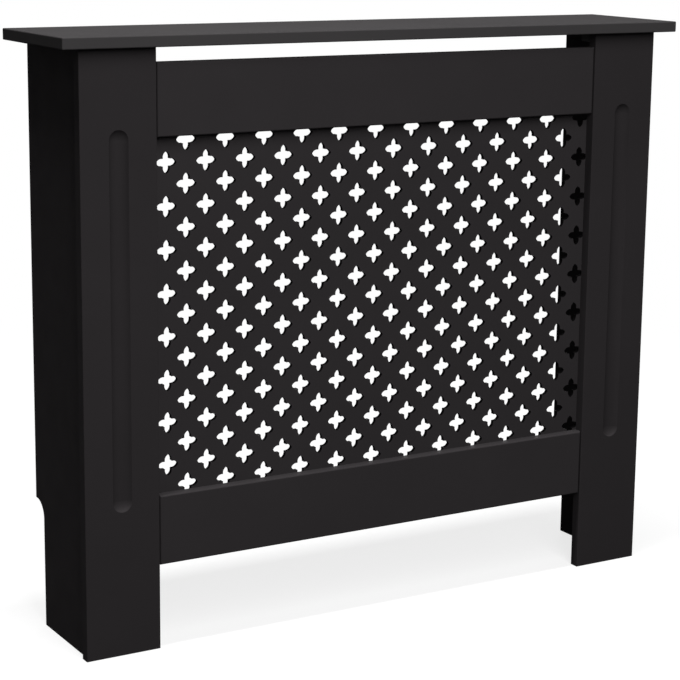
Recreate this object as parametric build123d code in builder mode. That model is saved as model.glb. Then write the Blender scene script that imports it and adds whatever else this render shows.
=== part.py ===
from build123d import *
import os
from math import floor, sqrt, tan, radians

# A radiator cover: two L-shaped legs, two rails with a pierced panel behind them, and a shelf on top.
# Millimetres. X is the width, -Y is the front, +Y is the wall side, and Z is up from the floor.
# The origin is on the floor, at the middle of the shelf's width and depth.

# ---- Driving dimensions ----

# Overall
cover_height = 815.0
body_width = 905.0
body_depth = 184.0

# Shelf
shelf_thickness = 15.0
shelf_side_overhang = 27.5
shelf_front_overhang = 16.0
shelf_edge_radius = 1.5

# Legs: a front board, called the post, and a side panel behind it
post_width = 106.0
post_thickness = 15.0
side_thickness = 15.0
side_panel_inset = 6.0
board_edge_radius = 1.0
flute_width = 27.0
flute_depth = 7.0
flute_foot_gap = 197.0
flute_head_gap = 103.0
skirting_cut_depth = 28.0
skirting_cut_height = 176.0
skirting_cut_radius = 24.0

# Rails. Each end has a narrow rebate in front, which shows as a dark line against the post.
rail_thickness = 14.0
rail_edge_radius = 2.0
joint_groove_width = 1.5
joint_groove_depth = 4.0
bottom_rail_height = 95.0
bottom_rail_lift = 116.0
top_rail_height = 95.0
shelf_slot_height = 20.0

# Pierced panel and its four-lobed holes. A hole's notch lies as far right of its middle as above it.
# Its reach is to the points of the lobes, before they are rounded.
lattice_thickness = 6.0
lattice_side_lap = 25.0
lattice_rail_lap = 22.0
lattice_pitch = 57.5
lattice_first_column = 20.0
lattice_lowest_row = 8.0
hole_reach = 14.5
lobe_bulge = 2.1
lobe_tip_radius = 1.5
notch_middle = 4.6
notch_radius = 0.8

# Battens inside the legs and cleats under the shelf
corner_batten_size = 20.0
corner_batten_floor_gap = 60.0
corner_batten_head_gap = 26.0
shelf_cleat_size = 20.0
shelf_cleat_front_gap = 10.0
shelf_cleat_back_gap = 65.0

# Steel plates across the rail joints, and angles for the wall
plate_length = 80.0
plate_width = 16.0
plate_thickness = 2.0
plate_corner_radius = 3.0
plate_hole_inset = 8.0
plate_hole_pitch = 22.0
bracket_width = 20.0
bracket_leg = 28.0
bracket_thickness = 2.0
bracket_bend_radius = 2.0
bracket_head_gap = 90.0
bracket_hole_inset = 9.0
wall_hole_radius = 2.5

# Dowels
rail_dowel_radius = 3.0
rail_dowel_length = 30.0
rail_dowel_edge_gap = 25.0
shelf_dowel_radius = 4.0
shelf_dowel_length = 30.0
shelf_dowel_rise = 10.0
post_dowel_spacing = 60.0
side_dowel_end_gap = 20.0
dowel_end_clearance = 1.0
dowel_chamfer = 0.8

# Screws
wood_screw_radius = 2.0
wood_screw_head_radius = 4.0
wood_screw_head_angle = 90.0
pan_screw_radius = 1.75
pan_screw_head_radius = 3.5
pan_screw_head_height = 2.2
pan_head_edge_radius = 1.2
recess_width = 0.9
recess_length = 4.0
recess_depth = 1.0
screw_point_length = 3.0
screw_skin = 4.0
screw_hole_clearance = 0.25
batten_screw_end_gap = 60.0
batten_screw_count = 3
batten_screw_stagger = 15.0
cleat_screw_end_gap = 16.0
cleat_screw_stagger = 14.0
lattice_screw_columns = 5
lattice_side_screw_count = 2
fit_clearance = 0.05

# ---- Places worked out from them ----

shelf_width = body_width + 2 * shelf_side_overhang
shelf_depth = body_depth + shelf_front_overhang
leg_height = cover_height - shelf_thickness
wall_y = shelf_depth / 2
post_front_y = wall_y - body_depth
post_back_y = post_front_y + post_thickness
post_mid_y = post_front_y + post_thickness / 2
post_outer_x = body_width / 2
post_inner_x = post_outer_x - post_width
post_mid_x = post_outer_x - post_width / 2
opening_width = 2 * post_inner_x
side_outer_x = post_outer_x - side_panel_inset
side_inner_x = side_outer_x - side_thickness
side_mid_x = side_outer_x - side_thickness / 2

rail_front_y = post_back_y - rail_thickness
rail_tongue_y = rail_front_y + joint_groove_depth
rail_dowel_y = (rail_tongue_y + post_back_y) / 2
bottom_rail_top_z = bottom_rail_lift + bottom_rail_height
top_rail_top_z = leg_height - shelf_slot_height
top_rail_bottom_z = top_rail_top_z - top_rail_height

lattice_left_x = -post_inner_x - lattice_side_lap
lattice_right_x = post_inner_x + lattice_side_lap
lattice_bottom_z = bottom_rail_top_z - lattice_rail_lap
lattice_top_z = top_rail_bottom_z + lattice_rail_lap
lattice_back_y = post_back_y + lattice_thickness

batten_inner_x = side_inner_x - corner_batten_size
batten_mid_x = side_inner_x - corner_batten_size / 2
batten_mid_y = post_back_y + corner_batten_size / 2
batten_back_y = post_back_y + corner_batten_size
batten_bottom_z = corner_batten_floor_gap
batten_top_z = leg_height - corner_batten_head_gap
cleat_front_y = batten_back_y + shelf_cleat_front_gap
cleat_back_y = wall_y - shelf_cleat_back_gap
cleat_bottom_z = leg_height - shelf_cleat_size
cleat_mid_z = leg_height - shelf_cleat_size / 2
cleat_inner_x = side_inner_x - shelf_cleat_size
cleat_mid_x = side_inner_x - shelf_cleat_size / 2

bracket_mid_z = leg_height - bracket_head_gap
bracket_front_y = wall_y - bracket_leg
bracket_inner_x = side_inner_x - bracket_leg

sides = {"left": -1, "right": 1}
rail_levels = {"bottom": (bottom_rail_lift, bottom_rail_top_z), "top": (top_rail_bottom_z, top_rail_top_z)}


def facing(x, y, z, normal):
    """A location at (x, y, z) whose local Z points along normal."""
    return Plane(origin=(x, y, z), z_dir=normal).location


def spread(low, high, count):
    """Evenly spaced values from low to high, both included."""
    return [low + (high - low) * i / (count - 1) for i in range(count)]


os.makedirs("parts", exist_ok=True)

# ---- Fastener places, shared by the pieces they join. Local Z points out of the screw's head. ----

# Rail dowels lie along X, half in the rail and half in the post.
rail_dowel_places = []
for sign in sides.values():
    for low_z, high_z in rail_levels.values():
        for z in (low_z + rail_dowel_edge_gap, high_z - rail_dowel_edge_gap):
            rail_dowel_places.append(facing(sign * post_inner_x, rail_dowel_y, z, (1, 0, 0)))

# Shelf dowels stand in the tops of the posts and of the side panels.
shelf_dowel_mid_z = leg_height + shelf_dowel_rise - shelf_dowel_length / 2
shelf_dowel_places = []
for sign in sides.values():
    for post_x in (post_mid_x - post_dowel_spacing / 2, post_mid_x + post_dowel_spacing / 2):
        shelf_dowel_places.append(facing(sign * post_x, post_mid_y, shelf_dowel_mid_z, (0, 0, 1)))
    for side_y in (post_back_y + side_dowel_end_gap, wall_y - side_dowel_end_gap):
        shelf_dowel_places.append(facing(sign * side_mid_x, side_y, shelf_dowel_mid_z, (0, 0, 1)))

# Corner batten screws, some into the side panel and some into the post, staggered in height.
batten_to_side_places = []
batten_to_post_places = []
batten_screw_low_z = batten_bottom_z + batten_screw_end_gap
batten_screw_high_z = batten_top_z - batten_screw_end_gap
for sign in sides.values():
    for z in spread(batten_screw_low_z, batten_screw_high_z, batten_screw_count):
        upper_z = z + batten_screw_stagger
        batten_to_side_places.append(facing(sign * batten_inner_x, batten_mid_y, z, (-sign, 0, 0)))
        batten_to_post_places.append(facing(sign * batten_mid_x, batten_back_y, upper_z, (0, 1, 0)))

# Cleat screws, some up into the shelf and some out into the side panel, staggered in depth.
cleat_to_shelf_places = []
cleat_to_side_places = []
for sign in sides.values():
    for end_y, step in ((cleat_front_y, 1), (cleat_back_y, -1)):
        up_y = end_y + step * cleat_screw_end_gap
        out_y = up_y + step * cleat_screw_stagger
        cleat_to_shelf_places.append(facing(sign * cleat_mid_x, up_y, cleat_bottom_z, (0, 0, -1)))
        cleat_to_side_places.append(facing(sign * cleat_inner_x, out_y, cleat_mid_z, (-sign, 0, 0)))

# Joining plates: the free height of each rail, clear of the pierced panel's lap.
plate_heights = {
    "bottom": (bottom_rail_lift + lattice_bottom_z) / 2,
    "top": (lattice_top_z + top_rail_top_z) / 2,
}
plate_back_y = post_back_y + plate_thickness
plate_hole_steps = []
for step in (-1, 1):
    outer_step = step * (plate_length / 2 - plate_hole_inset)
    plate_hole_steps += [outer_step, outer_step - step * plate_hole_pitch]
plate_screw_places = []
for sign in sides.values():
    for z in plate_heights.values():
        for step in plate_hole_steps:
            plate_screw_places.append(facing(sign * post_inner_x + step, plate_back_y, z, (0, 1, 0)))

# Wall bracket screws, out into the side panels.
bracket_face_x = side_inner_x - bracket_thickness
bracket_screw_y = bracket_front_y + bracket_hole_inset
bracket_screw_places = []
for sign in sides.values():
    bracket_screw_places.append(facing(sign * bracket_face_x, bracket_screw_y, bracket_mid_z, (-sign, 0, 0)))

# ---- Hole centres of the pierced panel: two square grids, the second half a pitch over and down ----

half_pitch = lattice_pitch / 2
column_count = floor((opening_width - lattice_first_column) / half_pitch) + 1
row_count = floor((top_rail_bottom_z - bottom_rail_top_z - lattice_lowest_row) / half_pitch) + 1
first_column_x = -post_inner_x + lattice_first_column
lowest_row_z = bottom_rail_top_z + lattice_lowest_row
hole_centres = []
for column in range(column_count):
    for row in range(row_count):
        if (column + row) % 2 == 1:
            hole_centres.append((first_column_x + column * half_pitch, lowest_row_z + row * half_pitch))

# Pierced panel screws: in the laps, over and under the columns whose end holes stay clear of the rails.
clear_column_x = [first_column_x + column * half_pitch for column in range(0, column_count, 2)]
screw_columns = [round(c) for c in spread(0, len(clear_column_x) - 1, lattice_screw_columns)]
lower_screw_z = lattice_bottom_z + (lattice_rail_lap - hole_reach + lattice_lowest_row) / 2
top_hole_z = lowest_row_z + (row_count - 1) * half_pitch + hole_reach
upper_screw_z = (lattice_top_z + max(top_hole_z, top_rail_bottom_z)) / 2
side_screw_x = post_inner_x + lattice_side_lap / 2
side_screw_gap = (top_rail_bottom_z - bottom_rail_top_z) / (lattice_side_screw_count + 1)
lattice_screw_places = []
for index in screw_columns:
    for z in (lower_screw_z, upper_screw_z):
        lattice_screw_places.append(facing(clear_column_x[index], lattice_back_y, z, (0, 1, 0)))
for sign in sides.values():
    for row in range(1, lattice_side_screw_count + 1):
        z = bottom_rail_top_z + row * side_screw_gap
        lattice_screw_places.append(facing(sign * side_screw_x, lattice_back_y, z, (0, 1, 0)))

# ---- Screw lengths: through the first piece, and into the second as far as its skin ----

batten_to_side_length = corner_batten_size + side_thickness - screw_skin
batten_to_post_length = corner_batten_size + post_thickness - screw_skin
cleat_to_shelf_length = shelf_cleat_size + shelf_thickness - screw_skin
cleat_to_side_length = shelf_cleat_size + side_thickness - screw_skin
plate_screw_length = plate_thickness + rail_thickness - screw_skin
bracket_screw_length = bracket_thickness + side_thickness - screw_skin
lattice_screw_length = lattice_thickness + rail_thickness - screw_skin

wood_pilot_radius = wood_screw_radius + fit_clearance
wood_clear_radius = wood_screw_radius + screw_hole_clearance
pan_pilot_radius = pan_screw_radius + fit_clearance
pan_clear_radius = pan_screw_radius + screw_hole_clearance
rail_dowel_hole_radius = rail_dowel_radius + fit_clearance
rail_dowel_hole_length = rail_dowel_length + 2 * dowel_end_clearance
shelf_dowel_hole_radius = shelf_dowel_radius + fit_clearance
shelf_dowel_hole_length = shelf_dowel_length + 2 * dowel_end_clearance

# ---- Shelf ----

with BuildPart() as top_shelf:
    with BuildSketch(Plane.XY.offset(leg_height)):
        Rectangle(shelf_width, shelf_depth)
    extrude(amount=shelf_thickness)
    fillet(top_shelf.edges(), radius=shelf_edge_radius)
    with Locations(*shelf_dowel_places):
        Cylinder(shelf_dowel_hole_radius, shelf_dowel_hole_length, mode=Mode.SUBTRACT)
    with Locations(*cleat_to_shelf_places):
        Hole(wood_pilot_radius, depth=cleat_to_shelf_length + fit_clearance)
top_shelf.part.label = "top_shelf"
export_step(top_shelf.part, "parts/top_shelf.step")

# ---- Legs ----

# The flute is what a ball-ended cutter leaves: a shallow cylinder with a sphere at each end.
flute_cutter_radius = ((flute_width / 2) ** 2 + flute_depth**2) / (2 * flute_depth)
flute_axis_y = post_front_y + flute_depth - flute_cutter_radius
flute_low_z = flute_foot_gap + flute_width / 2
flute_high_z = leg_height - flute_head_gap - flute_width / 2

for side, sign in sides.items():
    with BuildPart() as post:
        with BuildSketch(Plane.XZ.offset(-post_front_y)):
            with Locations((sign * post_mid_x, leg_height / 2)):
                Rectangle(post_width, leg_height)
        extrude(amount=-post_thickness)
        front_edges = post.faces().sort_by(Axis.Y)[0].edges()
        fillet(front_edges, radius=board_edge_radius)
        with Locations((sign * post_mid_x, flute_axis_y, (flute_low_z + flute_high_z) / 2)):
            Cylinder(flute_cutter_radius, flute_high_z - flute_low_z, mode=Mode.SUBTRACT)
        with Locations(
            (sign * post_mid_x, flute_axis_y, flute_low_z),
            (sign * post_mid_x, flute_axis_y, flute_high_z),
        ):
            Sphere(flute_cutter_radius, mode=Mode.SUBTRACT)
        with Locations(*rail_dowel_places):
            Cylinder(rail_dowel_hole_radius, rail_dowel_hole_length, mode=Mode.SUBTRACT)
        with Locations(*shelf_dowel_places):
            Cylinder(shelf_dowel_hole_radius, shelf_dowel_hole_length, mode=Mode.SUBTRACT)
        with Locations(*batten_to_post_places):
            Hole(wood_pilot_radius, depth=batten_to_post_length + fit_clearance)
        with Locations(*plate_screw_places):
            Hole(pan_pilot_radius, depth=plate_screw_length + fit_clearance)
        with Locations(*lattice_screw_places):
            Hole(pan_pilot_radius, depth=lattice_screw_length + fit_clearance)
    post.part.label = f"{side}_post_front"
    export_step(post.part, f"parts/{side}_post_front.step")

# The side panel's outline leaves room for a skirting board at the foot of its back edge.
cut_front_y = wall_y - skirting_cut_depth
arc_bow = skirting_cut_radius * (1 - sqrt(0.5))
arc_front_end = (cut_front_y, skirting_cut_height - skirting_cut_radius)
arc_middle = (cut_front_y + arc_bow, skirting_cut_height - arc_bow)
arc_back_end = (cut_front_y + skirting_cut_radius, skirting_cut_height)

for side, sign in sides.items():
    with BuildPart() as side_panel:
        with BuildSketch(Plane.YZ.offset(sign * side_mid_x)):
            with BuildLine():
                Polyline(
                    arc_back_end,
                    (wall_y, skirting_cut_height),
                    (wall_y, leg_height),
                    (post_back_y, leg_height),
                    (post_back_y, 0),
                    (cut_front_y, 0),
                    arc_front_end,
                )
                ThreePointArc(arc_front_end, arc_middle, arc_back_end)
            make_face()
        extrude(amount=side_thickness / 2, both=True)
        back_edges = side_panel.edges().filter_by(Axis.Z).group_by(Axis.Y)[-1]
        fillet(back_edges, radius=board_edge_radius)
        with Locations(*shelf_dowel_places):
            Cylinder(shelf_dowel_hole_radius, shelf_dowel_hole_length, mode=Mode.SUBTRACT)
        with Locations(*batten_to_side_places):
            Hole(wood_pilot_radius, depth=batten_to_side_length + fit_clearance)
        with Locations(*cleat_to_side_places):
            Hole(wood_pilot_radius, depth=cleat_to_side_length + fit_clearance)
        with Locations(*bracket_screw_places):
            Hole(pan_pilot_radius, depth=bracket_screw_length + fit_clearance)
    side_panel.part.label = f"{side}_side_panel"
    export_step(side_panel.part, f"parts/{side}_side_panel.step")

for side, sign in sides.items():
    with BuildPart() as corner_batten:
        with BuildSketch(Plane.XY.offset(batten_bottom_z)):
            with Locations((sign * batten_mid_x, batten_mid_y)):
                Rectangle(corner_batten_size, corner_batten_size)
        extrude(amount=batten_top_z - batten_bottom_z)
        free_edge = corner_batten.edges().filter_by(Axis.Z).group_by(Axis.Y)[-1].sort_by(Axis.X)
        fillet(free_edge[0] if sign > 0 else free_edge[-1], radius=board_edge_radius)
        with Locations(*batten_to_side_places, *batten_to_post_places):
            CounterSinkHole(
                wood_clear_radius,
                wood_screw_head_radius + fit_clearance,
                depth=corner_batten_size,
                counter_sink_angle=wood_screw_head_angle,
            )
    corner_batten.part.label = f"{side}_corner_batten"
    export_step(corner_batten.part, f"parts/{side}_corner_batten.step")

for side, sign in sides.items():
    with BuildPart() as shelf_cleat:
        with BuildSketch(Plane.XZ.offset(-cleat_front_y)):
            with Locations((sign * cleat_mid_x, cleat_mid_z)):
                Rectangle(shelf_cleat_size, shelf_cleat_size)
        extrude(amount=cleat_front_y - cleat_back_y)
        low_edges = shelf_cleat.edges().filter_by(Axis.Y).group_by(Axis.Z)[0].sort_by(Axis.X)
        fillet(low_edges[0] if sign > 0 else low_edges[-1], radius=board_edge_radius)
        with Locations(*cleat_to_shelf_places, *cleat_to_side_places):
            CounterSinkHole(
                wood_clear_radius,
                wood_screw_head_radius + fit_clearance,
                depth=shelf_cleat_size,
                counter_sink_angle=wood_screw_head_angle,
            )
    shelf_cleat.part.label = f"{side}_shelf_cleat"
    export_step(shelf_cleat.part, f"parts/{side}_shelf_cleat.step")

# ---- Rails ----

for level, (low_z, high_z) in rail_levels.items():
    with BuildPart() as rail:
        with BuildSketch(Plane.XZ.offset(-rail_front_y)):
            with Locations((0, (low_z + high_z) / 2)):
                Rectangle(opening_width - 2 * joint_groove_width, high_z - low_z)
        extrude(amount=-rail_thickness)
        with BuildSketch(Plane.XZ.offset(-rail_tongue_y)):
            with Locations((0, (low_z + high_z) / 2)):
                Rectangle(opening_width, high_z - low_z)
        extrude(amount=joint_groove_depth - rail_thickness)
        front_edges = rail.faces().sort_by(Axis.Y)[0].edges()
        fillet(front_edges, radius=rail_edge_radius)
        with Locations(*rail_dowel_places):
            Cylinder(rail_dowel_hole_radius, rail_dowel_hole_length, mode=Mode.SUBTRACT)
        with Locations(*plate_screw_places):
            Hole(pan_pilot_radius, depth=plate_screw_length + fit_clearance)
        with Locations(*lattice_screw_places):
            Hole(pan_pilot_radius, depth=lattice_screw_length + fit_clearance)
    rail.part.label = f"{level}_rail"
    export_step(rail.part, f"parts/{level}_rail.step")

# ---- Pierced panel ----

# Each lobe of a hole is a pointed arch. Two arches meet in a notch, the corner nearest the middle.
with BuildSketch() as lobed_hole:
    with BuildLine():
        for turn in range(0, 360, 90):
            lobe_tip = Vector(hole_reach, 0).rotate(Axis.Z, turn)
            notch = Vector(notch_middle, notch_middle).rotate(Axis.Z, turn)
            next_tip = lobe_tip.rotate(Axis.Z, 90)
            SagittaArc(next_tip, notch, lobe_bulge)
            SagittaArc(notch, lobe_tip, lobe_bulge)
    make_face()
    fillet(lobed_hole.vertices().group_by(SortBy.DISTANCE)[0], radius=notch_radius)
    fillet(lobed_hole.vertices().group_by(SortBy.DISTANCE)[-1], radius=lobe_tip_radius)

with BuildPart() as lattice_panel:
    with BuildSketch(Plane.XZ.offset(-post_back_y)):
        with Locations((0, (lattice_bottom_z + lattice_top_z) / 2)):
            Rectangle(lattice_right_x - lattice_left_x, lattice_top_z - lattice_bottom_z)
        with Locations(*hole_centres):
            add(lobed_hole.sketch, mode=Mode.SUBTRACT)
    extrude(amount=-lattice_thickness)
    with Locations(*lattice_screw_places):
        Hole(pan_clear_radius, depth=lattice_thickness)
lattice_panel.part.label = "lattice_panel"
export_step(lattice_panel.part, "parts/lattice_panel.step")

# ---- Steel plates and brackets ----

for level, z in plate_heights.items():
    for side, sign in sides.items():
        with BuildPart() as rail_plate:
            with BuildSketch(Plane.XZ.offset(-post_back_y)):
                with Locations((sign * post_inner_x, z)):
                    RectangleRounded(plate_length, plate_width, plate_corner_radius)
            extrude(amount=-plate_thickness)
            with Locations(*plate_screw_places):
                Hole(pan_clear_radius, depth=plate_thickness)
        rail_plate.part.label = f"{level}_{side}_rail_plate"
        export_step(rail_plate.part, f"parts/{level}_{side}_rail_plate.step")

# One leg of the bracket lies on the side panel's inner face, and the other in the plane of the wall.
bracket_plate_y = wall_y - bracket_thickness
wall_hole_x = bracket_inner_x + bracket_hole_inset

for side, sign in sides.items():
    with BuildPart() as wall_bracket:
        with BuildSketch(Plane.XY.offset(bracket_mid_z)):
            with BuildLine():
                Polyline(
                    (sign * side_inner_x, bracket_front_y),
                    (sign * side_inner_x, wall_y),
                    (sign * bracket_inner_x, wall_y),
                    (sign * bracket_inner_x, bracket_plate_y),
                    (sign * bracket_face_x, bracket_plate_y),
                    (sign * bracket_face_x, bracket_front_y),
                    close=True,
                )
            make_face()
        extrude(amount=bracket_width / 2, both=True)
        bend_edges = wall_bracket.edges().filter_by(Axis.Z)
        inner_bend = bend_edges.sort_by_distance((sign * bracket_face_x, bracket_plate_y, bracket_mid_z))[0]
        outer_bend = bend_edges.sort_by_distance((sign * side_inner_x, wall_y, bracket_mid_z))[0]
        fillet(inner_bend, radius=bracket_bend_radius)
        fillet(outer_bend, radius=bracket_bend_radius + bracket_thickness)
        with Locations(*bracket_screw_places):
            Hole(pan_clear_radius, depth=bracket_thickness)
        with Locations(facing(sign * wall_hole_x, wall_y, bracket_mid_z, (0, 1, 0))):
            Hole(wall_hole_radius, depth=bracket_thickness)
    wall_bracket.part.label = f"{side}_wall_bracket"
    export_step(wall_bracket.part, f"parts/{side}_wall_bracket.step")

# ---- Dowels ----

with BuildPart() as rail_dowels:
    with Locations(*rail_dowel_places):
        Cylinder(rail_dowel_radius, rail_dowel_length)
    chamfer(rail_dowels.edges().filter_by(GeomType.CIRCLE), length=dowel_chamfer)
rail_dowels.part.label = "rail_dowels"
export_step(rail_dowels.part, "parts/rail_dowels.step")

with BuildPart() as shelf_dowels:
    with Locations(*shelf_dowel_places):
        Cylinder(shelf_dowel_radius, shelf_dowel_length)
    chamfer(shelf_dowels.edges().filter_by(GeomType.CIRCLE), length=dowel_chamfer)
shelf_dowels.part.label = "shelf_dowels"
export_step(shelf_dowels.part, "parts/shelf_dowels.step")

# ---- Screws ----


def wood_screw(length):
    """A countersunk wood screw, its head flush with Z = 0 and its point at Z = -length."""
    head_height = (wood_screw_head_radius - wood_screw_radius) / tan(radians(wood_screw_head_angle / 2))
    with BuildPart() as screw:
        with BuildSketch(Plane.XZ):
            Polygon(
                (0, 0),
                (wood_screw_head_radius, 0),
                (wood_screw_radius, -head_height),
                (wood_screw_radius, screw_point_length - length),
                (0, -length),
                align=None,
            )
        revolve(axis=Axis.Z)
        Box(recess_length, recess_width, 2 * recess_depth, mode=Mode.SUBTRACT)
        Box(recess_width, recess_length, 2 * recess_depth, mode=Mode.SUBTRACT)
    return screw.part


def pan_screw(length):
    """A pan-head screw, its head standing on Z = 0 and its point at Z = -length."""
    with BuildPart() as screw:
        with BuildSketch(Plane.XZ):
            Polygon(
                (0, -length),
                (pan_screw_radius, screw_point_length - length),
                (pan_screw_radius, 0),
                (pan_screw_head_radius, 0),
                (pan_screw_head_radius, pan_screw_head_height),
                (0, pan_screw_head_height),
                align=None,
            )
        revolve(axis=Axis.Z)
        fillet(screw.edges().group_by(Axis.Z)[-1], radius=pan_head_edge_radius)
        with Locations((0, 0, pan_screw_head_height)):
            Box(recess_length, recess_width, 2 * recess_depth, mode=Mode.SUBTRACT)
            Box(recess_width, recess_length, 2 * recess_depth, mode=Mode.SUBTRACT)
    return screw.part


batten_side_screw = wood_screw(batten_to_side_length)
batten_post_screw = wood_screw(batten_to_post_length)
cleat_shelf_screw = wood_screw(cleat_to_shelf_length)
cleat_side_screw = wood_screw(cleat_to_side_length)
plate_screw = pan_screw(plate_screw_length)
bracket_screw = pan_screw(bracket_screw_length)
lattice_screw = pan_screw(lattice_screw_length)

with BuildPart() as batten_screws:
    with Locations(*batten_to_side_places):
        add(batten_side_screw)
    with Locations(*batten_to_post_places):
        add(batten_post_screw)
batten_screws.part.label = "batten_screws"
export_step(batten_screws.part, "parts/batten_screws.step")

with BuildPart() as cleat_screws:
    with Locations(*cleat_to_shelf_places):
        add(cleat_shelf_screw)
    with Locations(*cleat_to_side_places):
        add(cleat_side_screw)
cleat_screws.part.label = "cleat_screws"
export_step(cleat_screws.part, "parts/cleat_screws.step")

with BuildPart() as rail_plate_screws:
    with Locations(*plate_screw_places):
        add(plate_screw)
rail_plate_screws.part.label = "rail_plate_screws"
export_step(rail_plate_screws.part, "parts/rail_plate_screws.step")

with BuildPart() as bracket_screws:
    with Locations(*bracket_screw_places):
        add(bracket_screw)
bracket_screws.part.label = "bracket_screws"
export_step(bracket_screws.part, "parts/bracket_screws.step")

with BuildPart() as lattice_screws:
    with Locations(*lattice_screw_places):
        add(lattice_screw)
lattice_screws.part.label = "lattice_screws"
export_step(lattice_screws.part, "parts/lattice_screws.step")
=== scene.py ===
import math

import bpy
from mathutils import Matrix, Vector

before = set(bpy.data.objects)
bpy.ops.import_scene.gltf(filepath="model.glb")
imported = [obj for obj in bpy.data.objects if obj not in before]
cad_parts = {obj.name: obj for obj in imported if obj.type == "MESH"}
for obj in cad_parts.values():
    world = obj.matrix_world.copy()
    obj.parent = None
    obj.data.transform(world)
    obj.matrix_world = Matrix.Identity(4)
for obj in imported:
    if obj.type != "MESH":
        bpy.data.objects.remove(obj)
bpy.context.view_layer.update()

# Looks of the radiator cover: painted boards, a pierced panel, zinc-plated fixings and beech dowels.
# Metres, in the frame of the CAD model: X is the width, -Y is the front, Z is up from the floor.

# ---- Camera: place and angles of the photograph's view ----

camera_place = Vector((-1.4249, -2.3695, 0.9818))
camera_yaw = 0.5338
camera_pitch = 0.2008
camera_roll = 0.0111
sensor_width = 36.0
image_width = 680
focal_length_px = 1990.8
camera_shift_y = -0.05
clip_near = 0.05
clip_far = 100.0

# ---- Lamps and fill light ----

world_fill = 0.08
key_power = 88.0
key_size = (1.1, 2.6)
key_place = Vector((-0.45, -2.2, 2.3))
overhead_power = 390.0
overhead_size = (3.0, 0.4)
overhead_place = Vector((-0.75, -0.45, 6.0))
rear_power = 90.0
rear_size = (1.6, 0.6)
rear_place = Vector((2.2, 2.6, 0.45))
lamp_target = Vector((0.0, 0.0, 0.45))
overhead_target = Vector((-0.75, 0.0, 0.45))

# ---- Floor: its shadow fades out between two distances from the cover ----

floor_size = 60.0
floor_drop = 0.0004
floor_lit_grey = 0.9
floor_bounce_grey = 0.05
floor_shadow_share = 0.22
shadow_fade_start = 0.7
shadow_fade_end = 2.0

# ---- Paint: linear colours, the range of its roughness, and how much it mirrors ----

board_paint = (0.0246, 0.0224, 0.0235)
# Rail paint is a lightened copy of the board paint on the same MDF: painted light, standing in for
# the extra light on the rails' fronts and on the lower rail's top edge.
lightened_rail_paint = (0.0278, 0.0254, 0.0266)
# Shelf paint is a lightened copy of the board paint on the same MDF: painted light, standing in for
# the light that the shelf's top and front edge catch from above.
lightened_shelf_paint = (0.0385, 0.0366, 0.0374)
lattice_paint = (0.0276, 0.0252, 0.0264)
# Painted shade: on the walls of the lattice's holes, the lattice colour is darkened to this share,
# where shade falls.
hole_wall_painted_shade = 0.15
batten_paint = (0.0180, 0.0171, 0.0175)
board_roughness = (0.60, 0.68)
shelf_roughness = (0.70, 0.78)
lattice_roughness = (0.62, 0.70)
batten_roughness = (0.50, 0.68)
board_specular = 0.003
shelf_specular = 0.001
batten_specular = 0.02

# ---- Zinc and beech: linear colours and the range of their roughness ----

plate_zinc = 0.60
screw_zinc = 0.66
zinc_dull_tint = (0.88, 0.88, 0.8976)
zinc_bright_tint = (1.05, 1.05, 1.0815)
zinc_roughness = (0.28, 0.44)
beech_pale = (0.66, 0.48, 0.30)
beech_fleck = (0.47, 0.31, 0.17)
beech_roughness = (0.50, 0.70)

# ---- Textures. A noise has its scale per metre, its octaves and how strong the finer ones are. ----
# Those of scale 1 lie in coordinates that are stretched by the grain or brush scales below.

paint_clouds = {"scale": 5.0, "detail": 4.0, "roughness": 0.6}
paint_gloss = {"scale": 34.0, "detail": 3.0, "roughness": 0.5}
orange_peel = {"scale": 420.0, "detail": 1.0, "roughness": 0.5}
board_fibre = {"scale": 1700.0, "detail": 2.0, "roughness": 0.5}
batten_grain = {"scale": 1.0, "detail": 4.0, "roughness": 0.65}
brush_lines = {"scale": 1.0, "detail": 3.0, "roughness": 0.6}
beech_grain = {"scale": 1.0, "detail": 5.0, "roughness": 0.7}
zinc_patch_scale = 260.0

# Bump heights, in metres, and how strongly they show
peel_relief = {"depth": 0.00003, "strength": 0.5}
fibre_relief = {"depth": 0.00001, "strength": 0.4}
batten_relief = {"depth": 0.00018, "strength": 0.7}
brush_relief = {"depth": 0.00002, "strength": 0.5}
beech_relief = {"depth": 0.00006, "strength": 0.6}

# How far the colour swings around the paint's own, from dark to light
paint_swing = (0.95, 1.05)
batten_swing = (0.8, 1.25)

# Grain and brush scales along X, Y and Z, smallest along the piece
upright_batten_grain = (260.0, 260.0, 9.0)
level_batten_grain = (260.0, 9.0, 260.0)
plate_brush = (14.0, 900.0, 900.0)
bracket_brush = (900.0, 900.0, 14.0)
screw_brush = (1100.0, 1100.0, 1100.0)
level_dowel_grain = (40.0, 700.0, 700.0)
upright_dowel_grain = (700.0, 700.0, 40.0)

# Ranges that are mapped to others: the middle of a noise, and how squarely a face looks along Y,
# which places the painted shade on the walls of holes
noise_range = (0.3, 0.7)
facing_range = (0.4, 0.9)
full_range = (0.0, 1.0)

# The sockets that carry colours or shaders in mixing nodes go by number, as their names repeat.
mix_colour_inputs = (6, 7)
mix_colour_output = 2
mix_shader_inputs = (1, 2)


def grey(level):
    """An opaque grey, linear."""
    return (level, level, level, 1.0)


def tinted(colour, tint):
    """A colour times a number, or times another colour."""
    tints = tint if isinstance(tint, tuple) else (tint, tint, tint)
    return tuple(channel * factor for channel, factor in zip(colour, tints))


def calculated(tree, operation, *sources):
    """The result of a math node that the sources feed."""
    node = tree.nodes.new("ShaderNodeMath")
    node.operation = operation
    for source, socket in zip(sources, node.inputs):
        tree.links.new(source, socket)
    return node.outputs["Value"]


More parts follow.
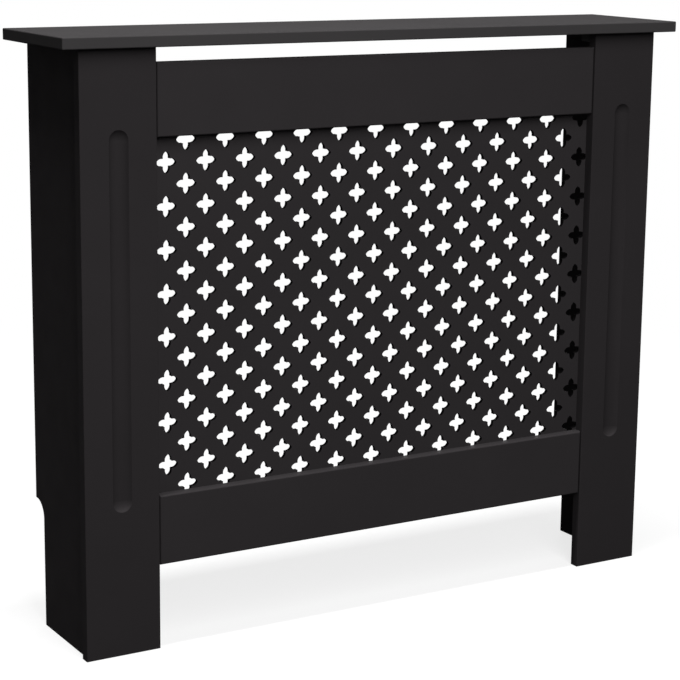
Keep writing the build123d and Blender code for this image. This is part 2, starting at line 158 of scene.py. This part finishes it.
def mapped(tree, value, source_range, target_range, interpolation="LINEAR"):
    """A value carried over from one range to another."""
    node = tree.nodes.new("ShaderNodeMapRange")
    node.interpolation_type = interpolation
    node.inputs["From Min"].default_value, node.inputs["From Max"].default_value = source_range
    node.inputs["To Min"].default_value, node.inputs["To Max"].default_value = target_range
    tree.links.new(value, node.inputs["Value"])
    return node.outputs["Result"]


def mixed(tree, factor, first, second):
    """The first shader at factor 0 and the second at 1."""
    node = tree.nodes.new("ShaderNodeMixShader")
    tree.links.new(factor, node.inputs["Fac"])
    for shader, socket in zip((first, second), mix_shader_inputs):
        tree.links.new(shader, node.inputs[socket])
    return node.outputs["Shader"]


class Shader:
    """A material's node tree, built around one Principled shader."""

    def __init__(self, name):
        self.material = bpy.data.materials.new(name)
        self.material.use_nodes = True
        self.tree = self.material.node_tree
        self.tree.nodes.clear()
        output = self.tree.nodes.new("ShaderNodeOutputMaterial")
        self.surface = self.tree.nodes.new("ShaderNodeBsdfPrincipled")
        self.link(self.surface.outputs["BSDF"], output.inputs["Surface"])
        coordinates = self.tree.nodes.new("ShaderNodeTexCoord")
        self.place = coordinates.outputs["Object"]
        self.facing = coordinates.outputs["Normal"]

    def link(self, source, target):
        self.tree.links.new(source, target)

    def stretched(self, scale):
        """Object coordinates scaled by (x, y, z)."""
        mapping = self.tree.nodes.new("ShaderNodeMapping")
        mapping.inputs["Scale"].default_value = scale
        self.link(self.place, mapping.inputs["Vector"])
        return mapping.outputs["Vector"]

    def noise(self, scale, detail, roughness, where=None):
        """The noise at the piece's own coordinates, or at where."""
        node = self.tree.nodes.new("ShaderNodeTexNoise")
        node.inputs["Scale"].default_value = scale
        node.inputs["Detail"].default_value = detail
        node.inputs["Roughness"].default_value = roughness
        self.link(where or self.place, node.inputs["Vector"])
        return node.outputs["Fac"]

    def cells(self, scale):
        """The random value of each Voronoi cell."""
        node = self.tree.nodes.new("ShaderNodeTexVoronoi")
        node.inputs["Scale"].default_value = scale
        self.link(self.place, node.inputs["Vector"])
        return node.outputs["Color"]

    def spread(self, noise, target_range):
        """A noise carried over to another range."""
        return mapped(self.tree, noise, noise_range, target_range)

    def blend(self, factor, first, second):
        """The first colour at factor 0 and the second at 1."""
        node = self.tree.nodes.new("ShaderNodeMix")
        node.data_type = "RGBA"
        self.link(factor, node.inputs["Factor"])
        for colour, socket in zip((first, second), mix_colour_inputs):
            node.inputs[socket].default_value = (*colour, 1.0)
        return node.outputs[mix_colour_output]

    def with_painted_shade_on_walls(self, colour, shade):
        """The colour, times shade on the walls of holes cut through a panel that faces along Y:
        painted shade, darkening the hole walls where shade falls in the holes.
        """
        parts = self.tree.nodes.new("ShaderNodeSeparateXYZ")
        self.link(self.facing, parts.inputs["Vector"])
        along_y = calculated(self.tree, "ABSOLUTE", parts.outputs["Y"])
        product = self.tree.nodes.new("ShaderNodeVectorMath")
        product.operation = "SCALE"
        self.link(colour, product.inputs["Vector"])
        self.link(mapped(self.tree, along_y, facing_range, (shade, 1.0)), product.inputs["Scale"])
        return product.outputs["Vector"]

    def bump(self, height, depth, strength, below=None):
        """The surface's normal with the height raised on it, over another bump if one is given."""
        node = self.tree.nodes.new("ShaderNodeBump")
        node.inputs["Strength"].default_value = strength
        node.inputs["Distance"].default_value = depth
        self.link(height, node.inputs["Height"])
        if below:
            self.link(below, node.inputs["Normal"])
        return node.outputs["Normal"]

    def set(self, **values):
        """Set sockets of the surface, with the spaces in their names written as underscores."""
        for name, value in values.items():
            self.surface.inputs[name.replace("_", " ")].default_value = value

    def drive(self, name, source):
        """Feed a socket of the surface from the source."""
        self.link(source, self.surface.inputs[name])


def painted(name, colour, roughness, specular, walls_painted_shade=None):
    """Sprayed paint on smooth board: faint clouding, uneven gloss and a fine orange peel; when a
    wall shade is given, painted shade on the walls of holes.
    """
    shader = Shader(name)
    clouding = shader.spread(shader.noise(**paint_clouds), full_range)
    coat = shader.blend(clouding, *(tinted(colour, swing) for swing in paint_swing))
    # Painted shade on the walls of holes, when a wall shade is given.
    if walls_painted_shade is not None:
        coat = shader.with_painted_shade_on_walls(coat, walls_painted_shade)
    shader.drive("Base Color", coat)
    shader.drive("Roughness", shader.spread(shader.noise(**paint_gloss), roughness))
    peel = shader.bump(shader.noise(**orange_peel), **peel_relief)
    shader.drive("Normal", shader.bump(shader.noise(**board_fibre), **fibre_relief, below=peel))
    shader.set(Specular_IOR_Level=specular)
    return shader.material


def painted_timber(name, colour, grain_scale):
    """Softwood batten under a thin coat, with the grain telegraphing through along its length."""
    shader = Shader(name)
    grain = shader.noise(**batten_grain, where=shader.stretched(grain_scale))
    streaks = shader.spread(grain, full_range)
    coat = shader.blend(streaks, *(tinted(colour, swing) for swing in batten_swing))
    shader.drive("Base Color", coat)
    shader.drive("Roughness", shader.spread(grain, batten_roughness))
    shader.drive("Normal", shader.bump(grain, **batten_relief))
    shader.set(Specular_IOR_Level=batten_specular)
    return shader.material


def zinc(name, brush_scale, value):
    """Bright zinc plating: fine draw lines and the faint patches of the plating."""
    shader = Shader(name)
    plain = (value, value, value)
    dull, bright = tinted(plain, zinc_dull_tint), tinted(plain, zinc_bright_tint)
    shader.drive("Base Color", shader.blend(shader.cells(zinc_patch_scale), dull, bright))
    lines = shader.noise(**brush_lines, where=shader.stretched(brush_scale))
    shader.drive("Roughness", shader.spread(lines, zinc_roughness))
    shader.drive("Normal", shader.bump(lines, **brush_relief))
    shader.set(Metallic=1.0)
    return shader.material


def beech(name, grain_scale):
    """Pale beech with short darker flecks along the grain."""
    shader = Shader(name)
    flecks = shader.noise(**beech_grain, where=shader.stretched(grain_scale))
    wood = shader.blend(shader.spread(flecks, full_range), beech_pale, beech_fleck)
    shader.drive("Base Color", wood)
    shader.drive("Roughness", shader.spread(flecks, beech_roughness))
    shader.drive("Normal", shader.bump(flecks, **beech_relief))
    return shader.material


# ---- Materials of the CAD pieces ----

board = painted("painted_board", board_paint, board_roughness, board_specular)
# The rails take the lightened copy of the board paint: painted light.
rail = painted("painted_rail", lightened_rail_paint, board_roughness, board_specular)
# The shelf takes the lightened copy of the board paint: painted light on its top and front edge.
shelf = painted("painted_shelf", lightened_shelf_paint, shelf_roughness, shelf_specular)
# The lattice's hole walls get painted shade.
lattice = painted(
    "painted_lattice", lattice_paint, lattice_roughness, board_specular, hole_wall_painted_shade
)
upright_batten = painted_timber("painted_upright_batten", batten_paint, upright_batten_grain)
level_batten = painted_timber("painted_level_batten", batten_paint, level_batten_grain)
plate_steel = zinc("zinc_plate", plate_brush, plate_zinc)
bracket_steel = zinc("zinc_bracket", bracket_brush, plate_zinc)
screw_steel = zinc("zinc_screw", screw_brush, screw_zinc)
level_dowel = beech("beech_level_dowel", level_dowel_grain)
upright_dowel = beech("beech_upright_dowel", upright_dowel_grain)

finishes = {
    "top_shelf": shelf,
    "left_post_front": board,
    "right_post_front": board,
    "left_side_panel": board,
    "right_side_panel": board,
    "top_rail": rail,
    "bottom_rail": rail,
    "lattice_panel": lattice,
    "left_corner_batten": upright_batten,
    "right_corner_batten": upright_batten,
    "left_shelf_cleat": level_batten,
    "right_shelf_cleat": level_batten,
    "top_left_rail_plate": plate_steel,
    "top_right_rail_plate": plate_steel,
    "bottom_left_rail_plate": plate_steel,
    "bottom_right_rail_plate": plate_steel,
    "left_wall_bracket": bracket_steel,
    "right_wall_bracket": bracket_steel,
    "rail_dowels": level_dowel,
    "shelf_dowels": upright_dowel,
    "batten_screws": screw_steel,
    "cleat_screws": screw_steel,
    "rail_plate_screws": screw_steel,
    "bracket_screws": screw_steel,
    "lattice_screws": screw_steel,
}

for node, finish in finishes.items():
    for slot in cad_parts[node].material_slots:
        slot.material = finish

# ---- Floor and background: white to the eye, and darker to the pieces that they light ----


def seen_rays(tree):
    """1 for rays that show the background: from the camera, in a reflection or through glass."""
    rays = tree.nodes.new("ShaderNodeLightPath").outputs
    direct = calculated(tree, "MAXIMUM", rays["Is Camera Ray"], rays["Is Glossy Ray"])
    return calculated(tree, "MAXIMUM", direct, rays["Is Transmission Ray"])


def floor_material():
    """White that shows a share of the shadows near the cover, and a dark grey to bounced light."""
    material = bpy.data.materials.new("floor_white")
    material.use_nodes = True
    tree = material.node_tree
    tree.nodes.clear()
    output = tree.nodes.new("ShaderNodeOutputMaterial")
    bounce = tree.nodes.new("ShaderNodeBsdfDiffuse")
    bounce.inputs["Color"].default_value = grey(floor_bounce_grey)
    lit = tree.nodes.new("ShaderNodeBsdfDiffuse")
    lit.inputs["Color"].default_value = grey(floor_lit_grey)
    glow = tree.nodes.new("ShaderNodeEmission")
    glow.inputs["Color"].default_value = grey(1.0)
    distance = tree.nodes.new("ShaderNodeVectorMath")
    distance.operation = "LENGTH"
    place = tree.nodes.new("ShaderNodeTexCoord").outputs["Object"]
    tree.links.new(place, distance.inputs[0])
    fade = (shadow_fade_start, shadow_fade_end)
    share = mapped(tree, distance.outputs["Value"], fade, (floor_shadow_share, 0.0), "SMOOTHSTEP")
    shown = mixed(tree, share, glow.outputs["Emission"], lit.outputs["BSDF"])
    surface = mixed(tree, seen_rays(tree), bounce.outputs["BSDF"], shown)
    tree.links.new(surface, output.inputs["Surface"])
    return material


half_floor = floor_size / 2
floor_corners = [
    (x * half_floor, y * half_floor, -floor_drop) for x, y in ((-1, -1), (1, -1), (1, 1), (-1, 1))
]
floor_mesh = bpy.data.meshes.new("floor")
floor_mesh.from_pydata(floor_corners, [], [(0, 1, 2, 3)])
floor_mesh.materials.append(floor_material())
floor = bpy.data.objects.new("floor", floor_mesh)
bpy.context.scene.collection.objects.link(floor)

world = bpy.data.worlds.new("studio")
world.use_nodes = True
world_tree = world.node_tree
world_tree.nodes.clear()
world_output = world_tree.nodes.new("ShaderNodeOutputWorld")
fill = world_tree.nodes.new("ShaderNodeBackground")
fill.inputs["Color"].default_value = grey(1.0)
fill.inputs["Strength"].default_value = world_fill
white = world_tree.nodes.new("ShaderNodeBackground")
white.inputs["Color"].default_value = grey(1.0)
sky = mixed(
    world_tree, seen_rays(world_tree), fill.outputs["Background"], white.outputs["Background"]
)
world_tree.links.new(sky, world_output.inputs["Surface"])
bpy.context.scene.world = world

# ---- Lamps ----


def area_lamp(name, place, target, power, size):
    """A rectangular lamp aimed at the target."""
    lamp = bpy.data.lights.new(name, "AREA")
    lamp.energy = power
    lamp.shape = "RECTANGLE"
    lamp.size, lamp.size_y = size
    holder = bpy.data.objects.new(name, lamp)
    holder.location = place
    holder.rotation_euler = (target - place).to_track_quat("-Z", "Y").to_euler()
    bpy.context.scene.collection.objects.link(holder)


area_lamp("key_light", key_place, lamp_target, key_power, key_size)
area_lamp("overhead_light", overhead_place, overhead_target, overhead_power, overhead_size)
area_lamp("rear_light", rear_place, lamp_target, rear_power, rear_size)

# ---- Camera ----

lens = bpy.data.cameras.new("camera")
lens.sensor_width = sensor_width
lens.lens = focal_length_px * sensor_width / image_width
lens.shift_y = camera_shift_y
lens.clip_start = clip_near
lens.clip_end = clip_far
camera = bpy.data.objects.new("camera", lens)
heading = Matrix.Rotation(-camera_yaw, 4, "Z")
tilt = Matrix.Rotation(math.pi / 2 - camera_pitch, 4, "X")
roll = Matrix.Rotation(camera_roll, 4, "Z")
camera.matrix_world = Matrix.Translation(camera_place) @ heading @ tilt @ roll
bpy.context.scene.collection.objects.link(camera)
bpy.context.scene.camera = camera

bpy.context.scene.view_settings.view_transform = "Standard"
